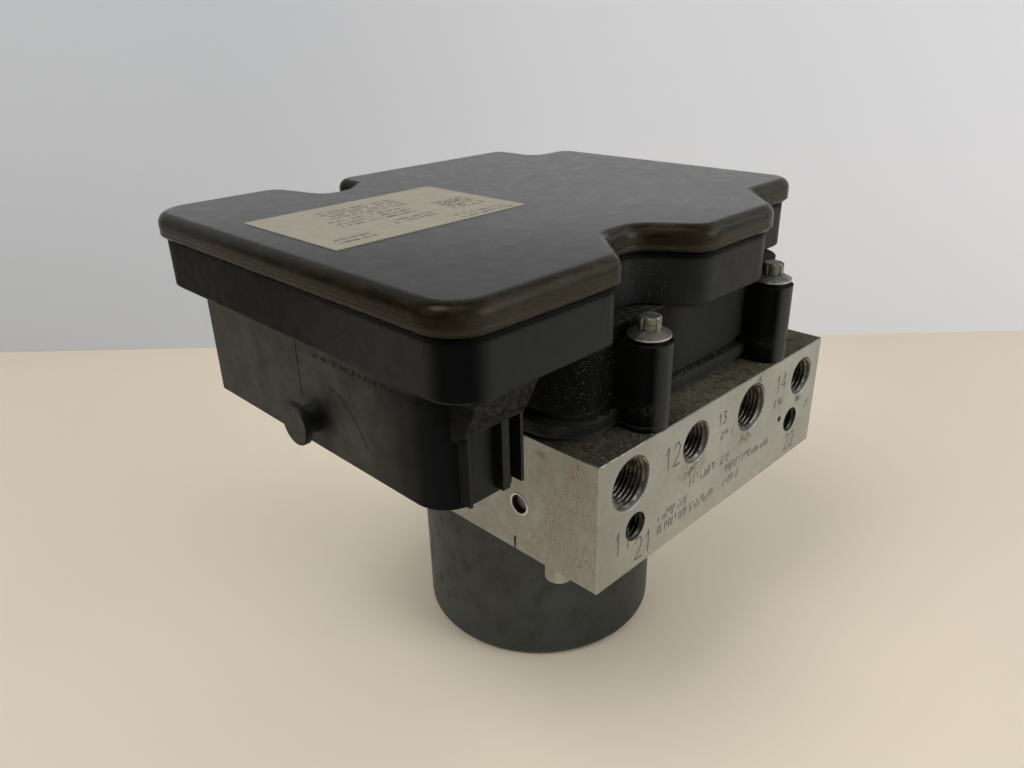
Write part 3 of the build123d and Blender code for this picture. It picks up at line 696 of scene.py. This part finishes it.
def cover_finish():
    """Satin dark plastic: a clean flat top, and a brown oily rim with a painted highlight along its lower
    lip.
    """
    paint = Paint("cover_plastic")
    flat = paint.times(paint.facing((0, 0, 1)), paint.rise("Z", COVER_TOP - 0.10, COVER_TOP - 0.01))
    cloud = paint.patches(16.0, 0.35, 0.65, detail=5.0)
    top_colour = paint.mix(cloud, COVER_SHADE, COVER_CLEAN)
    # The corner nearest the ports and the socket is painted darkest, as shade
    corner = paint.ramp(paint.plus(paint.axis("X"), paint.axis("Y")), -100.0, -25.0, 1.0, 0.0)
    top_colour = paint.over(top_colour, COVER_CORNER_SHADE, corner, 0.95)
    top_colour = paint.over(top_colour, COVER_DUST, paint.patches(0.5, 0.68, 0.76), 0.35)

    streak = paint.noise(1.6, detail=6.0, roughness=0.7, stretch=(0.22, 0.22, 1.0))
    rim_colour = paint.mix(paint.ramp(streak, 0.35, 0.65), RIM_DARK, RIM_BROWN)
    pale = paint.times(paint.patches(5.0, 0.50, 0.68, detail=5.0), paint.ramp(streak, 0.42, 0.6))
    rim_colour = paint.over(rim_colour, RIM_PALE, pale, 0.5)
    # Painted shade on the rim's left face, and painted light on its front face
    rim_colour = paint.over(rim_colour, RIM_LEFT_SHADE, paint.facing((-1, 0, 0)), 0.7)
    rim_colour = paint.over(rim_colour, RIM_FRONT_LIGHT, paint.facing((0, -1, 0)), 0.65)
    # A painted highlight along the rim's lower lip
    lip = paint.fall("Z", COVER_BOTTOM + 1.2, COVER_BOTTOM + 1.7)
    rim_colour = paint.over(rim_colour, RIM_LIP_HIGHLIGHT, lip, 0.6)
    paint.set("Base Color", paint.mix(flat, rim_colour, top_colour))

    top_rough = paint.wander(4.0, 0.27, 0.33, detail=4.0)
    rim_rough = paint.ramp(streak, 0.3, 0.7, 0.18, 0.34)
    paint.set("Roughness", paint.either(flat, top_rough, rim_rough))
    top_shine = paint.minus(0.41, paint.times(corner, 0.21))
    paint.set("Specular IOR Level", paint.either(flat, top_shine, 0.11))
    paint.set("Specular Tint", paint.mix(flat, COVER_RIM_SHINE, COVER_TOP_SHINE))
    groove = paint.near("Z", COVER_BOTTOM + 1.5, 0.28)
    groove_relief = paint.bump(paint.times(groove, -1.0), 0.06)
    paint.bump(paint.noise(0.3, detail=2.0), 0.007, groove_relief)
    return paint.material


def screw_finish():
    """Dull zinc with patches of brown dirt, and a painted highlight on the rim of the front screws' flanges.
    """
    paint = Paint("plated_steel")
    dirt = paint.patches(1.3, 0.46, 0.62, detail=6.0, roughness=0.7)
    # What sits in or under the block is cleaner than the screws above it
    above_block = paint.ramp(paint.axis("Z"), 82.0, 90.0, 0.2, 1.0)
    dirt = paint.times(dirt, above_block)
    colour = paint.mix(paint.noise(0.8, detail=4.0), ZINC_DARK, ZINC_LIGHT)
    colour = paint.over(colour, ZINC_DIRT, dirt, 0.75)
    # A painted highlight on the rim of the front screws' flanges
    rim = paint.times(paint.near("Z", SEAT_TOP + 0.2, 0.35), paint.fall("Y", -45.0, -44.0))
    colour = paint.over(colour, ZINC_RIM_HIGHLIGHT, rim, 0.7)
    paint.set("Base Color", colour)
    paint.set("Metallic", paint.minus(0.85, paint.times(dirt, 0.6)))
    paint.set("Roughness", paint.ramp(dirt, 0.0, 1.0, 0.36, 0.75))
    paint.bump(paint.noise(0.35, detail=4.0), 0.02)
    return paint.material


def label_finish():
    """Aged cream film with rows of small printed bars and a square of random cells, none of it readable."""
    paint = Paint("label_film")
    cream = paint.mix(paint.noise(6.0, detail=5.0), LABEL_SHADE, LABEL_CREAM)
    # Distances along the label's front edge (u) and along its left edge (v)
    u = paint.minus(paint.axis("X"), LABEL_LEFT)
    v = paint.minus(paint.axis("Y"), LABEL_FRONT)

    def within(value, low, high):
        above = paint.math("GREATER_THAN", value, low)
        return paint.times(above, paint.math("LESS_THAN", value, high))

    def random_cells(wide, tall, share):
        """1 in a random share of cells, wide by tall millimetres."""
        combine = paint.node("ShaderNodeCombineXYZ")
        paint.join(paint.math("FLOOR", paint.times(u, 1.0 / wide)), combine.inputs[0])
        paint.join(paint.math("FLOOR", paint.times(v, 1.0 / tall)), combine.inputs[1])
        white = paint.node("ShaderNodeTexWhiteNoise", noise_dimensions="3D")
        paint.join(combine.outputs[0], white.inputs["Vector"])
        return paint.math("LESS_THAN", white.outputs["Value"], share)

    def printed_rows(u_low, u_high, v_low, v_high, pitch, share):
        """Greeked rows of print that run along the label's front edge."""
        phase = paint.math("FRACT", paint.times(paint.minus(v, v_low), 1.0 / pitch))
        row = paint.math("LESS_THAN", phase, ROW_FILL)
        ink = random_cells(INK_CELL, pitch, share)
        return paint.times(row, ink, within(u, u_low, u_high), within(v, v_low, v_high))

    square = paint.times(
        random_cells(SQUARE_CELL, SQUARE_CELL, SQUARE_SHARE),
        within(u, *SQUARE_U),
        within(v, *SQUARE_V),
    )
    inked = paint.most(*(printed_rows(*rows) for rows in PRINTED_ROWS), square)
    faded = paint.ramp(paint.noise(0.7), 0.3, 0.55, 0.45, 0.95)
    paint.set("Base Color", paint.over(cream, LABEL_INK, inked, faded))
    paint.set("Roughness", paint.wander(3.0, 0.38, 0.5))
    paint.set("Specular Tint", LABEL_SHINE)
    paint.bump(paint.noise(1.4), 0.006)
    return paint.material


def thread_finish(name, clean, oily):
    """Cut aluminium with oil on it."""
    paint = Paint(name)
    oil = paint.patches(1.6, 0.42, 0.62, detail=5.0)
    paint.set("Base Color", paint.mix(oil, clean, oily))
    paint.set("Metallic", 0.6)
    paint.set("Roughness", paint.ramp(oil, 0.0, 1.0, 0.34, 0.52))
    paint.bump(paint.noise(0.25), 0.02)
    return paint.material


def finish_nodes():
    """Gives every CAD node a procedural material, by its slot in the record."""
    finishes = {
        "machined_aluminium": block_finish(),
        "coated_steel": motor_finish(),
        "housing_plastic": housing_finish(),
        "cover_plastic": cover_finish(),
        "plated_steel": screw_finish(),
        "label_film": label_finish(),
        "bright_steel": plain_finish("bright_steel", (0.55, 0.55, 0.54), 1.0, 0.3, depth_mm=0.004),
        "magnet": plain_finish("magnet", (0.09, 0.09, 0.092), 0.2, 0.6),
        "carbon": plain_finish("carbon", (0.03, 0.03, 0.032), 0.0, 0.55),
        "copper": plain_finish("copper", (0.62, 0.30, 0.17), 1.0, 0.32, depth_mm=0.004),
        "inner_plastic": plain_finish("inner_plastic", (0.05, 0.05, 0.055), 0.0, 0.5),
        "seal_rubber": plain_finish("seal_rubber", (0.018, 0.018, 0.018), 0.0, 0.75),
        "board_laminate": plain_finish("board_laminate", (0.03, 0.16, 0.07), 0.0, 0.38),
        "chip_plastic": plain_finish("chip_plastic", (0.02, 0.02, 0.022), 0.0, 0.5),
        "capacitor_can": plain_finish("capacitor_can", (0.6, 0.6, 0.62), 1.0, 0.35, depth_mm=0.004),
        "contact_metal": plain_finish("contact_metal", (0.62, 0.58, 0.5), 1.0, 0.3, depth_mm=0.003),
    }
    slots = {part["node"]: part["material_slot"] for part in frame["record"]["subparts"]}
    for name, piece in frame["nodes"].items():
        for material_slot in piece.material_slots:
            material_slot.material = finishes[slots[name]]


# ---------------------------------------------------------------- added pieces

def mesh_piece(name, vertices, faces, materials, smooth=False, indices=None):
    """A mesh from points in millimetres that rides on the unit's body. Where it has several materials,
    indices names each face's."""
    mesh = bpy.data.meshes.new(name)
    mesh.from_pydata([tuple(c * MM for c in vertex) for vertex in vertices], [], faces)
    for material in materials:
        mesh.materials.append(material)
    mesh.polygons.foreach_set("use_smooth", [smooth] * len(mesh.polygons))
    if indices:
        mesh.polygons.foreach_set("material_index", indices)
    piece = bpy.data.objects.new(name, mesh)
    bpy.context.scene.collection.objects.link(piece)
    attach(piece, "unit")


def thread(name, radius, depth, mouth, materials, place):
    """A helical ridge on the wall of a hole. place(x, y, z) turns the hole's own frame, whose z runs inward
    from the mouth, into the unit's frame. The mouth widens to a cone that is mouth deep. The flanks take the
    first material, the crest the second."""
    vertices = []
    faces = []
    indices = []
    rows = int(depth / THREAD_PITCH * THREAD_STEPS)
    for row in range(rows + 1):
        angle = 2 * math.pi * row / THREAD_STEPS
        along = THREAD_START + (depth - 2 * THREAD_START) * row / rows
        # The ridge grows from the wall at both of its ends
        fade = min(1.0, 2.5 * row / THREAD_STEPS, (rows - row) / THREAD_STEPS)
        for offset, reach in THREAD_SECTION:
            inward = max(THREAD_OUTERMOST, along + offset * THREAD_PITCH)
            wall = radius + max(0.0, mouth - inward)
            r = wall - THREAD_LIFT - THREAD_HEIGHT * THREAD_PITCH * reach * fade
            vertices.append(place(r * math.cos(angle), r * math.sin(angle), inward))
        if row:
            first = 4 * (row - 1)
            faces += [(first + n, first + n + 1, first + n + 5, first + n + 4) for n in range(3)]
            indices += [0, 1, 0]
    mesh_piece(name, vertices, faces, materials, indices=indices)


def port_threads():
    """A thread in every threaded hole of the record."""
    # The flanks and the small holes' threads are painted dark as shade, the big threads' crests painted
    # light
    flank = thread_finish("thread_flank_shaded", SHADED_FLANK_CLEAN, SHADED_FLANK_OILY)
    deep = thread_finish("thread_deep_shaded", SHADED_DEEP_CLEAN, SHADED_DEEP_OILY)
    crest = thread_finish("thread_crest_lit", LIT_CREST_CLEAN, LIT_CREST_OILY)
    for mount in frame["record"]["mounts"]:
        if mount["kind"] != "threaded_hole":
            continue
        radius = mount["dims"]["r_mm"]
        length = mount["dims"]["length_mm"]
        outward = mount["axis"]
        # A wheel port's length in the record starts below the cone of its mouth
        mouth = PORT_MOUTH if mount["name"].startswith("wheel_port") else 0.0
        start = [c / MM + a * length / 2 for c, a in zip(mount["pos_m"], outward)]
        start = [c + a * mouth for c, a in zip(start, outward)]
        if outward[1]:
            def place(x, y, z, start=start):
                return (start[0] + x, start[1] + z, start[2] + y)
        else:
            def place(x, y, z, start=start):
                return (start[0] + x, start[1] + y, start[2] + z)
        materials = [flank, crest] if radius > SMALL_THREAD_RADIUS else [deep, deep]
        thread(mount["name"] + "_thread", radius, length - THREAD_SHORTER, mouth, materials, place)


def ribbon(points, width, corners, faces, to_space):
    """Adds a flat stroke of some width along points of a face."""
    for (a, b), (c, d) in zip(points, points[1:]):
        length = math.hypot(c - a, d - b)
        ux, uy = (c - a) / length, (d - b) / length
        px, py = -uy * width / 2, ux * width / 2
        ex, ey = ux * width / 2, uy * width / 2
        first = len(corners)
        corners += [
            to_space(a - ex + px, b - ey + py),
            to_space(a - ex - px, b - ey - py),
            to_space(c + ex - px, d + ey - py),
            to_space(c + ex + px, d + ey + py),
        ]
        faces.append((first, first + 1, first + 2, first + 3))


def on_port_face(x, z):
    """A point of the port face, from its X and Z."""
    return (x, BLOCK_FRONT - MARK_LIFT, z)


def on_socket_wall(y, z):
    """A point of the socket's outer wall, from its Y and Z."""
    return (SOCKET_LEFT - FILM_LIFT, y, z)


# Plain figures, each one a single-line stroke in a box one unit tall
FIGURES = {
    "1": ((0.12, 0.72), (0.34, 1.0), (0.34, 0.0)),
    "2": ((0.02, 0.78), (0.14, 0.97), (0.42, 0.99), (0.56, 0.76), (0.48, 0.52), (0.0, 0.0), (0.6, 0.0)),
    "3": ((0.04, 0.95), (0.56, 0.95), (0.24, 0.58), (0.5, 0.5), (0.57, 0.24), (0.38, 0.02), (0.04, 0.08)),
    "4": ((0.42, 0.0), (0.42, 1.0), (0.0, 0.32), (0.6, 0.32)),
}


def port_figures(material):
    """Engraved plain numbers beside the ports and the two bracket holes."""
    corners = []
    faces = []
    for number, x, z, tall in PORT_FIGURES:
        for place, figure in enumerate(number):
            points = [
                (x + (u + FIGURE_STEP * place) * FIGURE_WIDTH * tall, z + v * tall)
                for u, v in FIGURES[figure]
            ]
            ribbon(points, FIGURE_STROKE, corners, faces, on_port_face)
    mesh_piece("port_figures", corners, faces, [material])


def stamped_rows(material):
    """Rows of needle-stamped upright ticks and dots, where the unit's codes would be."""
    dice = random.Random(11)
    corners = []
    faces = []
    for start, z, length, tall in STAMPED_ROWS:
        x = start
        while x < start + length:
            low = z + dice.choice((0.0, 0.0, 0.5 * tall))
            high = z + dice.choice((tall, tall, 0.55 * tall))
            if high - low > 0.3:
                ribbon([(x, low), (x + 0.04, high)], TICK_STROKE, corners, faces, on_port_face)
            if dice.random() < 0.4:
                dot = z + dice.choice((0.0, 0.5, 1.0)) * tall
                ribbon([(x + 0.35, dot), (x + 0.55, dot)], DOT_STROKE, corners, faces, on_port_face)
            x += dice.choice((0.62, 0.62, 0.85, 1.35))
    mesh_piece("stamped_ticks", corners, faces, [material])


# A grain's six corners, as an axis and a side of it, and the faces between them
GRAIN_CORNERS = ((0, 1), (0, -1), (1, 1), (1, -1), (2, 1), (2, -1))
GRAIN_FACES = ((1, 2, 4), (2, 0, 4), (0, 3, 4), (3, 1, 4), (2, 1, 5), (0, 2, 5), (3, 0, 5), (1, 3, 5))


def grains(name, count, seed, spot, size, material):
    """Irregular grains lying on a surface; spot(dice) gives where each one lies."""
    dice = random.Random(seed)
    vertices = []
    faces = []
    for _ in range(count):
        x, y, z = spot(dice)
        radius = size * dice.uniform(0.35, 1.0) ** 2
        axes = [radius * dice.uniform(0.5, 1.2) for _ in range(3)]
        first = len(vertices)
        for axis, sign in GRAIN_CORNERS:
            point = [c + dice.uniform(-0.25, 0.25) * radius for c in (x, y, z)]
            point[axis] += sign * axes[axis]
            vertices.append(tuple(point))
        faces += [tuple(first + n for n in face) for face in GRAIN_FACES]
    mesh_piece(name, vertices, faces, [material])


def spot_on_block(dice):
    """On the block's top, denser towards the port face."""
    x = dice.uniform(-42.0, 43.0)
    y = BLOCK_FRONT + 0.5 + 6.2 * (1.0 - dice.random() ** 1.8)
    return (x, y, BLOCK_TOP + GRAIN_LIFT)


def spot_on_skirt(dice):
    """On the ledge of the skirt in front of the lower body."""
    x = dice.uniform(-34.0, 34.0)
    y = dice.uniform(-49.3, -47.6)
    return (x, y, SKIRT_TOP + GRAIN_LIFT)


def spot_in_hollow(dice):
    """On the lower body's front wall, left of the first post and behind it."""
    x = dice.uniform(-40.0, -18.0)
    z = dice.uniform(88.0, 102.0)
    return (x, BODY_FRONT - GRAIN_LIFT, z)


def dirt_grains():
    """Pale mineral dust and swarf."""
    dust = plain_finish("road_dust", GRAIN, 0.0, 0.85, grain_mm=0.2, depth_mm=0.03, vary=0.5)
    grains("dust_on_block", 520, 3, spot_on_block, 0.30, dust)
    grains("dust_on_skirt", 200, 5, spot_on_skirt, 0.24, dust)
    grains("dust_in_hollow", 170, 9, spot_in_hollow, 0.17, dust)


def socket_line(name, points, material):
    """A thin line on the socket's outer wall."""
    corners = []
    faces = []
    ribbon(points, LINE_WIDTH, corners, faces, on_socket_wall)
    mesh_piece(name, corners, faces, [material])


def socket_lines():
    """The mould's flash line above the peg, and a curved scratch in front of it."""
    shadow = plain_finish("parting_shadow", PARTING_SHADOW, 0.0, 0.7, shine=0.02)
    socket_line("socket_parting_line", PARTING_LINE, shadow)
    scratched = plain_finish("scratched_plastic", SCRATCHED_PLASTIC, 0.0, 0.7, shine=0.02)
    socket_line("socket_scratch", SCRATCH, scratched)


def staked_ring():
    """The lip of aluminium that was peened over the ball plug."""
    around, tube = 40, 8
    centre_y, centre_z = STAKED_RING_CENTRE
    vertices = []
    faces = []
    for n in range(around):
        angle = 2 * math.pi * n / around
        ragged = 1.0 + 0.06 * math.sin(5 * angle) + 0.04 * math.sin(11 * angle + 1.0)
        for m in range(tube):
            turn = 2 * math.pi * m / tube
            r = STAKED_RING_RADIUS + STAKED_RING_WIDTH * ragged * math.cos(turn)
            x = BLOCK_LEFT + 0.02 - STAKED_RING_HEIGHT * math.sin(turn)
            vertices.append((x, centre_y + r * math.cos(angle), centre_z + r * math.sin(angle)))
            step = ((n + 1) % around) * tube
            faces.append((n * tube + m, n * tube + (m + 1) % tube, step + (m + 1) % tube, step + m))
    # The plain aluminium of the frame's own file, without the block's stains
    plain = bpy.data.materials["machined_aluminium"]
    mesh_piece("staked_ring", vertices, faces, [plain], smooth=True)


# ---------------------------------------------------------------- stage, light and camera

def stage_material(name, first, second, direction, low, high):
    """A matt colour that changes from first to second between two distances along a level direction."""
    paint = Paint(name)
    along_x = paint.times(paint.axis("X"), direction[0])
    along_y = paint.times(paint.axis("Y"), direction[1])
    paint.set("Base Color", paint.mix(paint.ramp(paint.plus(along_x, along_y), low, high), first, second))
    paint.set("Roughness", 0.9)
    return paint.material


def stage_plane(name, corners, material):
    """A flat piece of the stage from four corners in millimetres."""
    mesh = bpy.data.meshes.new(name)
    mesh.from_pydata([tuple(c * MM for c in corner) for corner in corners], [], [(0, 1, 2, 3)])
    mesh.materials.append(material)
    plane = bpy.data.objects.new(name, mesh)
    bpy.context.scene.collection.objects.link(plane)
    plane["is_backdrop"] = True


def stage():
    """A pale table top, and a pale wall that stands at 45 degrees behind the unit, each with painted light
    and shade across it.
    """
    away = Vector((1, 1, 0)).normalized()
    along = Vector((1, -1, 0)).normalized()
    foot = away * WALL_DISTANCE
    left, right = foot - along * STAGE_HALF_WIDTH, foot + along * STAGE_HALF_WIDTH
    nearer = away * -TABLE_DEPTH
    table = stage_material("pale_table", TABLE_LIT, TABLE_SHADED, along, 60.0, 190.0)
    wall = stage_material("pale_wall", WALL_SHADED, WALL_LIT, along, -150.0, 60.0)
    stage_plane("table_top", (left, right, right + nearer, left + nearer), table)
    up = Vector((0, 0, WALL_HEIGHT))
    stage_plane("back_wall", (right, left, left + up, right + up), wall)


def area_light(name, place, size, energy):
    """A round lamp that faces the unit."""
    data = bpy.data.lights.new(name, "AREA")
    data.shape = "DISK"
    data.size = size * MM
    data.energy = energy
    data.color = LAMP_COLOUR
    lamp = bpy.data.objects.new(name, data)
    lamp.location = Vector(place) * MM
    direction = Vector(LAMP_TARGET) - Vector(place)
    lamp.rotation_euler = direction.to_track_quat("-Z", "Y").to_euler()
    bpy.context.scene.collection.objects.link(lamp)


def light():
    """Five lamps and a faint even light from all sides."""
    world = bpy.data.worlds.new("room")
    bpy.context.scene.world = world
    world.use_nodes = True
    background = world.node_tree.nodes["Background"]
    background.inputs["Color"].default_value = ROOM_COLOUR
    background.inputs["Strength"].default_value = ROOM_STRENGTH
    for name, lamp in LAMPS.items():
        area_light(name, *lamp)


def camera():
    """The photograph's camera: level turned by its roll, looking down by its pitch."""
    yaw, pitch, roll = (math.radians(a) for a in (CAMERA_YAW, CAMERA_PITCH, CAMERA_ROLL))
    forward = Vector((math.sin(yaw) * math.cos(pitch), math.cos(yaw) * math.cos(pitch), -math.sin(pitch)))
    level = Vector((math.cos(yaw), -math.sin(yaw), 0))
    upright = level.cross(forward)
    right = level * math.cos(roll) + upright * math.sin(roll)
    up = upright * math.cos(roll) - level * math.sin(roll)
    data = bpy.data.cameras.new("camera")
    data.sensor_width = SENSOR_WIDTH
    data.lens = SENSOR_WIDTH * FOCAL_LENGTH_PX / IMAGE_WIDTH
    data.clip_start = 0.01
    eye = bpy.data.objects.new("camera", data)
    turned = Matrix((right, up, -forward)).transposed().to_4x4()
    eye.matrix_world = Matrix.Translation(Vector(CAMERA_PLACE) * MM) @ turned
    bpy.context.scene.collection.objects.link(eye)
    bpy.context.scene.camera = eye


finish_nodes()
port_threads()
engraved = plain_finish("engraved_mark", ENGRAVED, 0.3, 0.65, grain_mm=0.2, depth_mm=0.01, vary=0.4)
port_figures(engraved)
stamped_rows(engraved)
dirt_grains()
socket_lines()
staked_ring()
stage()
light()
camera()
bpy.context.scene.view_settings.view_transform = "Standard"

boxes = [[list(corner) for corner in box] for box in (CAD_BOX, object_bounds())]
